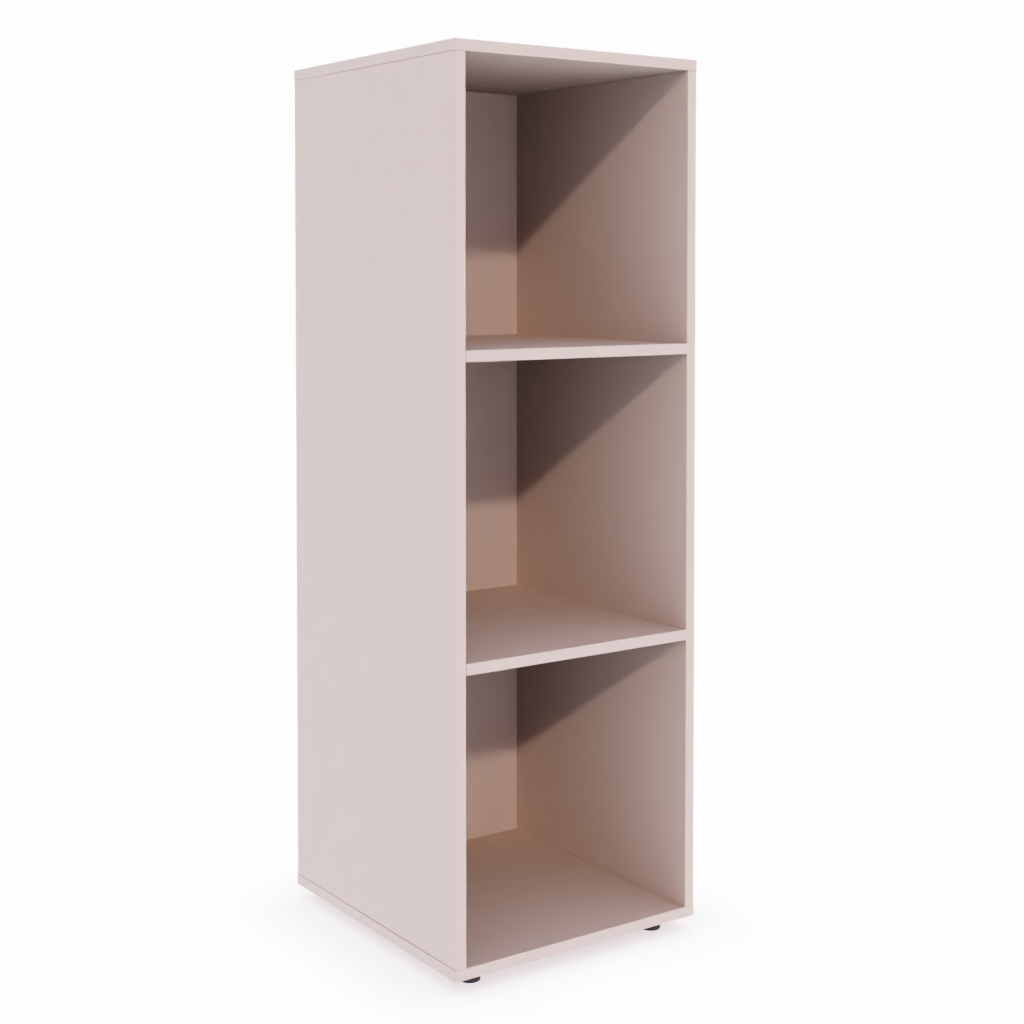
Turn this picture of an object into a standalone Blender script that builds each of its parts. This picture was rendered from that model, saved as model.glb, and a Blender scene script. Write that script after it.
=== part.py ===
"""Tall open locker with three compartments: a dowelled board carcass on four levelling feet.

Metres, +Z up. The origin is on the floor under the middle of the carcass, and the open front faces -Y.
Left and right are as seen from the front.
"""

import math

import bmesh
import bpy
from mathutils import Vector

# Carcass
CARCASS_WIDTH = 0.400
CARCASS_DEPTH = 0.430
CARCASS_HEIGHT = 1.200
BOARD_THICKNESS = 0.015
SIDE_SETBACK = 0.001  # the top and the bottom stand proud of each side by this much
LOWER_SHELF_HEIGHT = 0.400  # carcass underside to the middle of the shelf
UPPER_SHELF_HEIGHT = 0.800

# Back panel, let into a groove in the four outer boards
BACK_THICKNESS = 0.003
BACK_RECESS = 0.016  # rear edge of the carcass to the rear face of the back
GROOVE_DEPTH = 0.006

# Edge banding
EDGING_THICKNESS = 0.001
EDGING_ROUND = 0.0005
GLUE_LINE = 0.0001

# Dowels
DOWEL_DIAMETER = 0.008
DOWEL_LENGTH = 0.030
DOWEL_CHAMFER = 0.001
DOWEL_MARGIN = 0.050  # end of a joint to the middle of its nearest dowel
DOWEL_BORE_COVER = 0.003  # board left over a dowel that enters its face
CORNER_DOWELS = ("front", "middle", "rear")
SHELF_DOWELS = ("front", "rear")

# Levelling feet
FOOT_INSET = 0.047  # side edge of the bottom panel to the middle of a foot
FOOT_SETBACK = 0.039  # front or rear edge of the bottom panel to the middle of a foot
FOOT_TRAVEL = 0.00375  # each way, three turns of the thread
FOOT_END_GAP = 0.00025  # collar to flange with the foot screwed right in

# Foot base
BASE_DIAMETER = 0.028
BASE_RIM_HEIGHT = 0.005
BASE_SHOULDER = 0.0015
BASE_CROWN_RISE = 0.0007
BASE_LOWER_CHAMFER = 0.0008
BASE_RING_WIDTH = 0.004  # ring that bears on the floor, its chamfer included
BASE_RECESS = 0.0008
SOCKET_FLOOR = 0.0011
SOCKET_LIP = 0.0008
HUB_DIAMETER = 0.014
HUB_DRAFT = 0.0003
HUB_CHAMFER = 0.0004

# Foot stud
THREAD_DIAMETER = 0.008
THREAD_CHAMFER = 0.001
COLLAR_ACROSS_FLATS = 0.013
COLLAR_HEIGHT = 0.0034
COLLAR_CHAMFER = 0.0004
BALL_DIAMETER = 0.0076
NECK_DIAMETER = 0.005

# Threaded insert
INSERT_WALL = 0.0013
INSERT_BORE_COVER = 0.003  # board left over an insert
INSERT_LEAD = 0.0006
FLANGE_WIDTH = 0.0054
FLANGE_THICKNESS = 0.0015
FLANGE_CHAMFER = 0.0004
BARB_HEIGHT = 0.0006
BARB_PITCH = 0.0025
BARB_COUNT = 3

# Fits and facets
FIT_GAP = 0.0003
CUT_OVERSHOOT = 0.002
DOWEL_SIDES = 12
BORE_SIDES = 24
BASE_STEPS = 24
STUD_STEPS = 16
INSERT_STEPS = 16
SOCKET_ARC_STEPS = 6
SHOULDER_ARC_STEPS = 3
EDGING_ROUND_STEPS = 2
SMOOTH_ANGLE = math.radians(35)

# Worked out: the carcass, measured from its underside
FRONT = -CARCASS_DEPTH / 2
REAR = CARCASS_DEPTH / 2
HALF_WIDTH = CARCASS_WIDTH / 2
SIDE_OUTSIDE = HALF_WIDTH - SIDE_SETBACK
SIDE_INSIDE = SIDE_OUTSIDE - BOARD_THICKNESS
SIDE_MIDDLE = (SIDE_OUTSIDE + SIDE_INSIDE) / 2
INSIDE_BOTTOM = BOARD_THICKNESS
INSIDE_TOP = CARCASS_HEIGHT - BOARD_THICKNESS
BACK_REAR = REAR - BACK_RECESS
BACK_FRONT = BACK_REAR - BACK_THICKNESS
SHELF_REAR = BACK_FRONT - FIT_GAP
CORE_MARGIN = EDGING_THICKNESS + GLUE_LINE

# Worked out: dowels and their bores
DOWEL_BORE_DEPTH = BOARD_THICKNESS - DOWEL_BORE_COVER
DOWEL_BORE_RADIUS = DOWEL_DIAMETER / 2 + FIT_GAP
DOWEL_REACH = DOWEL_BORE_DEPTH - FIT_GAP
DOWEL_BORE_LENGTH = DOWEL_LENGTH + 2 * FIT_GAP

# Worked out: the insert, the stud and the base, each radius from the one that it fits
INSERT_BORE_DEPTH = BOARD_THICKNESS - INSERT_BORE_COVER
THREAD_RADIUS = THREAD_DIAMETER / 2
INSERT_INSIDE = THREAD_RADIUS + FIT_GAP
BARREL_RADIUS = INSERT_INSIDE + INSERT_WALL
BARB_RADIUS = BARREL_RADIUS + BARB_HEIGHT
FLANGE_RADIUS = BARREL_RADIUS + FLANGE_WIDTH
INSERT_BORE_RADIUS = BARB_RADIUS + FIT_GAP
BALL_RADIUS = BALL_DIAMETER / 2
NECK_RADIUS = NECK_DIAMETER / 2
SOCKET_RADIUS = BALL_RADIUS + FIT_GAP
MOUTH_RADIUS = NECK_RADIUS + FIT_GAP

# Worked out: heights in a foot, from the floor up
BALL_HEIGHT = BASE_RECESS + SOCKET_FLOOR + SOCKET_RADIUS
MOUTH_HEIGHT = BALL_HEIGHT + math.sqrt(SOCKET_RADIUS**2 - MOUTH_RADIUS**2)
HUB_TOP = MOUTH_HEIGHT + SOCKET_LIP
COLLAR_BOTTOM = HUB_TOP + FIT_GAP
COLLAR_TOP = COLLAR_BOTTOM + COLLAR_HEIGHT
FLANGE_BOTTOM = COLLAR_TOP + FOOT_TRAVEL + FOOT_END_GAP
FLANGE_TOP = FLANGE_BOTTOM + FLANGE_THICKNESS
UNDERSIDE = FLANGE_TOP + FIT_GAP
BARREL_TOP = UNDERSIDE + INSERT_BORE_DEPTH - FIT_GAP
STUD_TOP = UNDERSIDE + INSERT_BORE_DEPTH - FOOT_TRAVEL - FIT_GAP

SIDE_SIGNS = {"left": -1, "right": 1}
END_SIGNS = {"front": -1, "rear": 1}
PLACES_ALONG_JOINT = {"front": 0.0, "middle": 0.5, "rear": 1.0}


def clear_scene():
    for item in list(bpy.data.objects):
        bpy.data.objects.remove(item, do_unlink=True)


def new_collection(name, parent):
    collection = bpy.data.collections.new(name)
    parent.children.link(collection)
    return collection


def new_finish(name, colour, roughness, metallic=0.0):
    finish = bpy.data.materials.new(name)
    finish.use_nodes = True
    shader = finish.node_tree.nodes["Principled BSDF"]
    shader.inputs["Base Color"].default_value = (*colour, 1.0)
    shader.inputs["Roughness"].default_value = roughness
    shader.inputs["Metallic"].default_value = metallic
    return finish


class Workshop:
    """The collections, finishes and carriers that every piece is placed in."""

    def __init__(self):
        scene = bpy.context.scene.collection
        self.parts = new_collection("open_locker", scene)
        self.cutters = new_collection("open_locker_cutters", scene)
        self.board = new_finish("cashmere_melamine", (0.62, 0.52, 0.49), 0.45)
        self.edging = new_finish("cashmere_edging", (0.66, 0.56, 0.53), 0.40)
        self.back = new_finish("cashmere_hardboard", (0.60, 0.50, 0.47), 0.50)
        self.beech = new_finish("beech", (0.62, 0.42, 0.25), 0.70)
        self.plastic = new_finish("black_plastic", (0.012, 0.011, 0.012), 0.50)
        self.steel = new_finish("zinc_plated_steel", (0.62, 0.62, 0.60), 0.32, 1.0)
        self.carcass = self.carrier("carcass", (0, 0, UNDERSIDE))

    def carrier(self, name, location):
        """An empty that carries pieces and isn't one itself."""
        empty = bpy.data.objects.new(name, None)
        empty.location = location
        self.parts.objects.link(empty)
        return empty

    def add(self, name, mesh, finish, location, parent, direction=None):
        """A piece with this mesh, whose own Z is turned to the direction if one is given."""
        piece = bpy.data.objects.new(name, mesh)
        piece.location = location
        piece.parent = parent
        if direction is not None:
            piece.rotation_euler = direction.to_track_quat("Z", "Y").to_euler()
        if not mesh.materials:
            mesh.materials.append(finish)
        self.parts.objects.link(piece)
        return piece

    def add_cutter(self, name, mesh, boards, location, direction=None):
        """A cutter in the carcass frame, which cuts each of these boards."""
        cutter = bpy.data.objects.new(name, mesh)
        cutter.location = location
        cutter.parent = self.carcass
        cutter.hide_render = True
        cutter.display_type = "WIRE"
        if direction is not None:
            cutter.rotation_euler = direction.to_track_quat("Z", "Y").to_euler()
        for board in boards:
            self.cuts_in(board).objects.link(cutter)

    def cuts_in(self, board):
        """The collection of cutters that a board is cut by, made at its first cut."""
        cuts = board.modifiers.get("Cuts")
        if cuts is None:
            cuts = board.modifiers.new("Cuts", "BOOLEAN")
            cuts.operand_type = "COLLECTION"
            cuts.collection = new_collection(board.name + "_cuts", self.cutters)
        return cuts.collection


def mesh_from(shape, name):
    mesh = bpy.data.meshes.new(name)
    shape.to_mesh(mesh)
    shape.free()
    return mesh


def box_shape(size):
    shape = bmesh.new()
    bmesh.ops.create_cube(shape, size=1.0)
    bmesh.ops.scale(shape, vec=size, verts=shape.verts)
    return shape


def cylinder_shape(radius, length, sides):
    shape = bmesh.new()
    bmesh.ops.create_cone(
        shape, cap_ends=True, segments=sides, radius1=radius, radius2=radius, depth=length
    )
    return shape


def ease_edges(shape, edges, width, steps=1):
    bmesh.ops.bevel(
        shape,
        geom=edges,
        offset=width,
        offset_type="OFFSET",
        segments=steps,
        profile=0.5,
        affect="EDGES",
        material=-1,
    )


def level_edges(shape):
    """The edges round the two ends of an upright cylinder."""
    return [edge for edge in shape.edges if abs(edge.verts[0].co.z - edge.verts[1].co.z) < FIT_GAP]


def smooth_round_faces(mesh):
    mesh.shade_smooth()
    mesh.set_sharp_from_angle(angle=SMOOTH_ANGLE)


def turned_mesh(name, profile, steps, closed=False, union_with=None):
    """A profile of radius and height turned about Z, joined to another mesh if one is given."""
    count = len(profile)
    outline = bpy.data.meshes.new(name + "_profile")
    links = [(i, i + 1) for i in range(count - 1)]
    if closed:
        links.append((count - 1, 0))
    outline.from_pydata([(radius, 0, height) for radius, height in profile], links, [])
    turning = bpy.data.objects.new(name + "_turning", outline)
    bpy.context.scene.collection.objects.link(turning)
    screw = turning.modifiers.new("Turn", "SCREW")
    screw.steps = steps
    screw.render_steps = steps
    screw.use_merge_vertices = True
    screw.merge_threshold = 0.00001
    helpers = [turning]
    if union_with is not None:
        other = bpy.data.objects.new(name + "_joined", union_with)
        bpy.context.scene.collection.objects.link(other)
        helpers.append(other)
        union = turning.modifiers.new("Join", "BOOLEAN")
        union.operation = "UNION"
        union.object = other
    graph = bpy.context.evaluated_depsgraph_get()
    mesh = bpy.data.meshes.new_from_object(turning.evaluated_get(graph))
    mesh.name = name
    for helper in helpers:
        bpy.data.objects.remove(helper, do_unlink=True)
    smooth_round_faces(mesh)
    return mesh


def arc(centre, radius, start, end, steps):
    """Points of an arc as radius and height, with angles measured down from straight up."""
    points = []
    for i in range(steps + 1):
        angle = start + (end - start) * i / steps
        points.append(
            (centre[0] + radius * math.sin(angle), centre[1] + radius * math.cos(angle))
        )
    return points


def add_board(shop, name, low, high, finish):
    """A board between two corners of the carcass frame."""
    low, high = Vector(low), Vector(high)
    mesh = mesh_from(box_shape(high - low), name)
    return shop.add(name, mesh, finish, (low + high) / 2, shop.carcass)


def add_edging(shop, name, low, high, outward, run, round_ends=False):
    """A strip of banding that runs along one axis, with the edges of its outer face eased."""
    low, high = Vector(low), Vector(high)
    shape = box_shape(high - low)
    face = max(shape.faces, key=lambda each: each.normal.dot(outward))
    eased = []
    for edge in face.edges:
        along = edge.verts[1].co - edge.verts[0].co
        crosses_run = along.dot(run) == 0
        if round_ends or not crosses_run:
            eased.append(edge)
    ease_edges(shape, eased, EDGING_ROUND, EDGING_ROUND_STEPS)
    shop.add(name, mesh_from(shape, name), shop.edging, (low + high) / 2, shop.carcass)


def add_side_panels(shop):
    """The two uprights, which stand between the bottom and the top, banded at the front."""
    sides = {}
    low_z, high_z = INSIDE_BOTTOM + FIT_GAP, INSIDE_TOP - FIT_GAP
    for side, sign in SIDE_SIGNS.items():
        low_x, high_x = sorted((sign * SIDE_INSIDE, sign * SIDE_OUTSIDE))
        sides[side] = add_board(
            shop,
            f"{side}_side_panel",
            (low_x, FRONT + CORE_MARGIN, low_z),
            (high_x, REAR, high_z),
            shop.board,
        )
        add_edging(
            shop,
            f"{side}_side_front_edging",
            (low_x, FRONT, low_z),
            (high_x, FRONT + EDGING_THICKNESS, high_z),
            outward=Vector((0, -1, 0)),
            run=Vector((0, 0, 1)),
        )
    return sides


def add_end_panel(shop, name, low_z):
    """The top or the bottom, which covers the ends of the sides and is banded all round."""
    high_z = low_z + BOARD_THICKNESS
    core_x = HALF_WIDTH - CORE_MARGIN
    panel = add_board(
        shop,
        name,
        (-core_x, FRONT + CORE_MARGIN, low_z),
        (core_x, REAR - CORE_MARGIN, high_z),
        shop.board,
    )
    for end, sign in END_SIGNS.items():
        low_y, high_y = sorted((sign * REAR, sign * (REAR - EDGING_THICKNESS)))
        add_edging(
            shop,
            f"{name}_{end}_edging",
            (-HALF_WIDTH, low_y, low_z),
            (HALF_WIDTH, high_y, high_z),
            outward=Vector((0, sign, 0)),
            run=Vector((1, 0, 0)),
            round_ends=True,
        )
    for side, sign in SIDE_SIGNS.items():
        low_x, high_x = sorted((sign * HALF_WIDTH, sign * (HALF_WIDTH - EDGING_THICKNESS)))
        add_edging(
            shop,
            f"{name}_{side}_edging",
            (low_x, FRONT + CORE_MARGIN, low_z),
            (high_x, REAR - CORE_MARGIN, high_z),
            outward=Vector((sign, 0, 0)),
            run=Vector((0, 1, 0)),
        )
    return panel


def add_shelf(shop, name, middle_z):
    """A fixed shelf between the sides, flush with the front and butted to the back."""
    half_length = SIDE_INSIDE - FIT_GAP
    low_z, high_z = middle_z - BOARD_THICKNESS / 2, middle_z + BOARD_THICKNESS / 2
    shelf = add_board(
        shop,
        name,
        (-half_length, FRONT + CORE_MARGIN, low_z),
        (half_length, SHELF_REAR, high_z),
        shop.board,
    )
    add_edging(
        shop,
        f"{name}_front_edging",
        (-half_length, FRONT, low_z),
        (half_length, FRONT + EDGING_THICKNESS, high_z),
        outward=Vector((0, -1, 0)),
        run=Vector((1, 0, 0)),
    )
    return shelf


def add_back_panel(shop, sides, top, bottom):
    """The back, and the groove that it sits in on all four sides."""
    reach = GROOVE_DEPTH - FIT_GAP
    half_width = SIDE_INSIDE + reach
    add_board(
        shop,
        "back_panel",
        (-half_width, BACK_FRONT, INSIDE_BOTTOM - reach),
        (half_width, BACK_REAR, INSIDE_TOP + reach),
        shop.back,
    )
    groove_width = BACK_THICKNESS + 2 * FIT_GAP
    groove_y = (BACK_FRONT + BACK_REAR) / 2
    groove_height = GROOVE_DEPTH + CUT_OVERSHOOT
    inward = (GROOVE_DEPTH - CUT_OVERSHOOT) / 2
    upright = (groove_height, groove_width, CARCASS_HEIGHT + 2 * CUT_OVERSHOOT)
    level = (CARCASS_WIDTH + 2 * CUT_OVERSHOOT, groove_width, groove_height)
    for side, sign in SIDE_SIGNS.items():
        mesh = mesh_from(box_shape(upright), f"{side}_groove")
        place = (sign * (SIDE_INSIDE + inward), groove_y, CARCASS_HEIGHT / 2)
        shop.add_cutter(f"{side}_groove", mesh, [sides[side]], place)
    for name, board, height in (
        ("top_groove", top, INSIDE_TOP + inward),
        ("bottom_groove", bottom, INSIDE_BOTTOM - inward),
    ):
        mesh = mesh_from(box_shape(level), name)
        shop.add_cutter(name, mesh, [board], (0, groove_y, height))


class Dowels:
    """The hidden dowels: each sits in one bore through the face of a board and the end of another."""

    def __init__(self, shop):
        self.shop = shop
        shape = cylinder_shape(DOWEL_DIAMETER / 2, DOWEL_LENGTH, DOWEL_SIDES)
        ease_edges(shape, level_edges(shape), DOWEL_CHAMFER)
        self.dowel = mesh_from(shape, "dowel")
        smooth_round_faces(self.dowel)
        bore = cylinder_shape(DOWEL_BORE_RADIUS, DOWEL_BORE_LENGTH, DOWEL_SIDES)
        self.bore = mesh_from(bore, "dowel_bore")

    def add_row(self, name, places, face, rear, direction, boards):
        """A row of dowels along a joint: face is the joint's X and Z, and direction points into the face."""
        first = FRONT + DOWEL_MARGIN
        last = rear - DOWEL_MARGIN
        for place in places:
            y = first + (last - first) * PLACES_ALONG_JOINT[place]
            on_face = Vector((face[0], y, face[1]))
            middle = on_face + direction * (DOWEL_REACH - DOWEL_LENGTH / 2)
            dowel_name = f"{name}_dowel_{place}"
            self.shop.add(dowel_name, self.dowel, self.shop.beech, middle, self.shop.carcass, direction)
            self.shop.add_cutter(dowel_name + "_bore", self.bore, boards, middle, direction)


def add_dowels(shop, sides, top, bottom, shelves):
    dowels = Dowels(shop)
    up, down = Vector((0, 0, 1)), Vector((0, 0, -1))
    for side, sign in SIDE_SIGNS.items():
        upright = sides[side]
        x = sign * SIDE_MIDDLE
        dowels.add_row(f"top_{side}", CORNER_DOWELS, (x, INSIDE_TOP), REAR, up, [upright, top])
        dowels.add_row(
            f"bottom_{side}", CORNER_DOWELS, (x, INSIDE_BOTTOM), REAR, down, [upright, bottom]
        )
        outward = Vector((sign, 0, 0))
        for name, (shelf, height) in shelves.items():
            face = (sign * SIDE_INSIDE, height)
            dowels.add_row(
                f"{name}_{side}", SHELF_DOWELS, face, SHELF_REAR, outward, [upright, shelf]
            )


def insert_mesh():
    """A barbed sleeve with a flange at its foot. Each barb slopes in towards the top."""
    outside = [(BARREL_RADIUS - INSERT_LEAD, BARREL_TOP), (BARREL_RADIUS, BARREL_TOP - INSERT_LEAD)]
    for i in range(BARB_COUNT):
        lower = BARREL_TOP - INSERT_LEAD - (i + 1) * BARB_PITCH
        outside.append((BARB_RADIUS, lower))
        outside.append((BARREL_RADIUS, lower))
    flange = [
        (BARREL_RADIUS, FLANGE_TOP),
        (FLANGE_RADIUS, FLANGE_TOP),
        (FLANGE_RADIUS, FLANGE_BOTTOM + FLANGE_CHAMFER),
        (FLANGE_RADIUS - FLANGE_CHAMFER, FLANGE_BOTTOM),
    ]
    inside = [(INSERT_INSIDE, FLANGE_BOTTOM), (INSERT_INSIDE, BARREL_TOP)]
    return turned_mesh("foot_insert", outside + flange + inside, INSERT_STEPS, closed=True)


def stud_mesh():
    """A stud with a chamfered tip, a hexagon collar and a ball on a neck."""
    collar_middle = (COLLAR_TOP + COLLAR_BOTTOM) / 2
    shank = [
        (0, STUD_TOP),
        (THREAD_RADIUS - THREAD_CHAMFER, STUD_TOP),
        (THREAD_RADIUS, STUD_TOP - THREAD_CHAMFER),
        (THREAD_RADIUS, collar_middle),
        (NECK_RADIUS, collar_middle),
    ]
    start = math.asin(NECK_RADIUS / BALL_RADIUS)
    ball = arc((0, BALL_HEIGHT), BALL_RADIUS, start, math.pi, SOCKET_ARC_STEPS)
    collar = cylinder_shape(COLLAR_ACROSS_FLATS / math.sqrt(3), COLLAR_HEIGHT, 6)
    ease_edges(collar, level_edges(collar), COLLAR_CHAMFER)
    bmesh.ops.translate(collar, vec=(0, 0, collar_middle), verts=collar.verts)
    return turned_mesh("foot_stud", shank + ball, STUD_STEPS, union_with=mesh_from(collar, "collar"))


def base_mesh():
    """A round base: ball socket, drafted hub, crowned top, rounded shoulder and a recessed underside."""
    radius = BASE_DIAMETER / 2
    crown_top = BASE_RIM_HEIGHT + BASE_SHOULDER + BASE_CROWN_RISE
    mouth_angle = math.asin(MOUTH_RADIUS / SOCKET_RADIUS)
    socket = arc((0, BALL_HEIGHT), SOCKET_RADIUS, math.pi, mouth_angle, SOCKET_ARC_STEPS)
    hub_radius = HUB_DIAMETER / 2
    hub_top_radius = hub_radius - HUB_DRAFT
    hub = [
        (MOUTH_RADIUS, HUB_TOP),
        (hub_top_radius - HUB_CHAMFER, HUB_TOP),
        (hub_top_radius, HUB_TOP - HUB_CHAMFER),
        (hub_radius, crown_top),
    ]
    shoulder_centre = (radius - BASE_SHOULDER, BASE_RIM_HEIGHT)
    shoulder = arc(shoulder_centre, BASE_SHOULDER, 0, math.pi / 2, SHOULDER_ARC_STEPS)
    underside = [
        (radius, BASE_LOWER_CHAMFER),
        (radius - BASE_LOWER_CHAMFER, 0),
        (radius - BASE_RING_WIDTH, 0),
        (radius - BASE_RING_WIDTH - BASE_RECESS, BASE_RECESS),
        (0, BASE_RECESS),
    ]
    return turned_mesh("foot_base", socket + hub + shoulder + underside, BASE_STEPS)


def add_feet(shop, bottom):
    """Four feet, each with an insert bored into the bottom panel, a stud and a base on one axis."""
    insert, stud, base = insert_mesh(), stud_mesh(), base_mesh()
    bore_length = INSERT_BORE_DEPTH + CUT_OVERSHOOT
    bore = mesh_from(cylinder_shape(INSERT_BORE_RADIUS, bore_length, BORE_SIDES), "insert_bore")
    bore_z = (INSERT_BORE_DEPTH - CUT_OVERSHOOT) / 2
    for end, end_sign in END_SIGNS.items():
        for side, side_sign in SIDE_SIGNS.items():
            corner = f"{end}_{side}"
            x = side_sign * (HALF_WIDTH - FOOT_INSET)
            y = end_sign * (REAR - FOOT_SETBACK)
            axis = shop.carrier(f"foot_axis_{corner}", (x, y, 0))
            shop.add(f"foot_insert_{corner}", insert, shop.steel, (0, 0, 0), axis)
            shop.add(f"foot_stud_{corner}", stud, shop.steel, (0, 0, 0), axis)
            shop.add(f"foot_base_{corner}", base, shop.plastic, (0, 0, 0), axis)
            shop.add_cutter(f"insert_bore_{corner}", bore, [bottom], (x, y, bore_z))


def main():
    clear_scene()
    shop = Workshop()
    sides = add_side_panels(shop)
    top = add_end_panel(shop, "top_panel", INSIDE_TOP)
    bottom = add_end_panel(shop, "bottom_panel", 0)
    shelves = {
        "upper_shelf": (add_shelf(shop, "upper_shelf", UPPER_SHELF_HEIGHT), UPPER_SHELF_HEIGHT),
        "lower_shelf": (add_shelf(shop, "lower_shelf", LOWER_SHELF_HEIGHT), LOWER_SHELF_HEIGHT),
    }
    add_back_panel(shop, sides, top, bottom)
    add_dowels(shop, sides, top, bottom, shelves)
    add_feet(shop, bottom)


main()
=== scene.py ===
"""Dresses the open locker: board and edging finishes, turned levelling feet, floor, light and camera.

Metres, +Z up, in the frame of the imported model. The open front faces -Y, and left and right are as seen
from the front.
"""

import logging
import math
from collections.abc import Sequence
from dataclasses import dataclass, field
from enum import Enum
from typing import NamedTuple

import bmesh
import bpy
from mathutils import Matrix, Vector


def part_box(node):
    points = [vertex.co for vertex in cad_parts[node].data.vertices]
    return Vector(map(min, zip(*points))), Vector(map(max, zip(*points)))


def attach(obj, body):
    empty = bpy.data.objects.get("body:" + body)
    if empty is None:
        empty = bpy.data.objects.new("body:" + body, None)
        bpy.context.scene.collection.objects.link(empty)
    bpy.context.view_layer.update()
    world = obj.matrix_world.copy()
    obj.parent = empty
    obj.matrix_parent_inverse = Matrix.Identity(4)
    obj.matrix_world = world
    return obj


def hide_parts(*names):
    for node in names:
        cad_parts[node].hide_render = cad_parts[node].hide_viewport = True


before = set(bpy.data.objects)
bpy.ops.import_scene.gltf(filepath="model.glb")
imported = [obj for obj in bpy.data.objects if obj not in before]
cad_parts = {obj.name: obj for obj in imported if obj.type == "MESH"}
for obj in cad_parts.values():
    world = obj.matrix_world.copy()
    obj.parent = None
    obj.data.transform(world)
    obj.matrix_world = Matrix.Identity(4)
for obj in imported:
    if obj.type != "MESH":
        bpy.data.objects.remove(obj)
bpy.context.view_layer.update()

LOG = logging.getLogger("open_locker")

Colour = tuple[float, float, float]
Point = tuple[float, float, float]
Range = tuple[float, float]
Socket = bpy.types.NodeSocket
Input = Socket | Colour | float

SIDES = ("left", "right")
ENDS = ("front", "rear")
UP: Point = (0.0, 0.0, 1.0)
DOWN: Point = (0.0, 0.0, -1.0)
HEXAGON_SIDES = 6
MERGE_DISTANCE = 1e-6
SMOOTH_ANGLE = math.radians(35)
# Most values of a noise lie in this range.
NOISE_SPAN: Range = (0.3, 0.7)
# The place of the combined curve in a view's curve mapping.
COMBINED_CURVE = 3


class Axis(Enum):
    """A world axis, as its place in a vector."""

    X = 0
    Y = 1
    Z = 2


class Slot(Enum):
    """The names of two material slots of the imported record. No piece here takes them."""

    STEEL = "steel"
    FOOT_PLASTIC = "foot_plastic"


class MixKind(Enum):
    """What a Mix node mixes: its data type, and the type of the sockets that it then uses."""

    RGBA = "RGBA"
    FLOAT = "VALUE"


class Surface(NamedTuple):
    """What a finish gives a face: a colour, a roughness and a height in metres."""

    colour: Socket
    roughness: Socket
    height: Socket


def shaded(colour: Colour, factor: float) -> Colour:
    """A colour made darker or lighter by one factor."""
    return tuple(min(1.0, each * factor) for each in colour)


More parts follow.
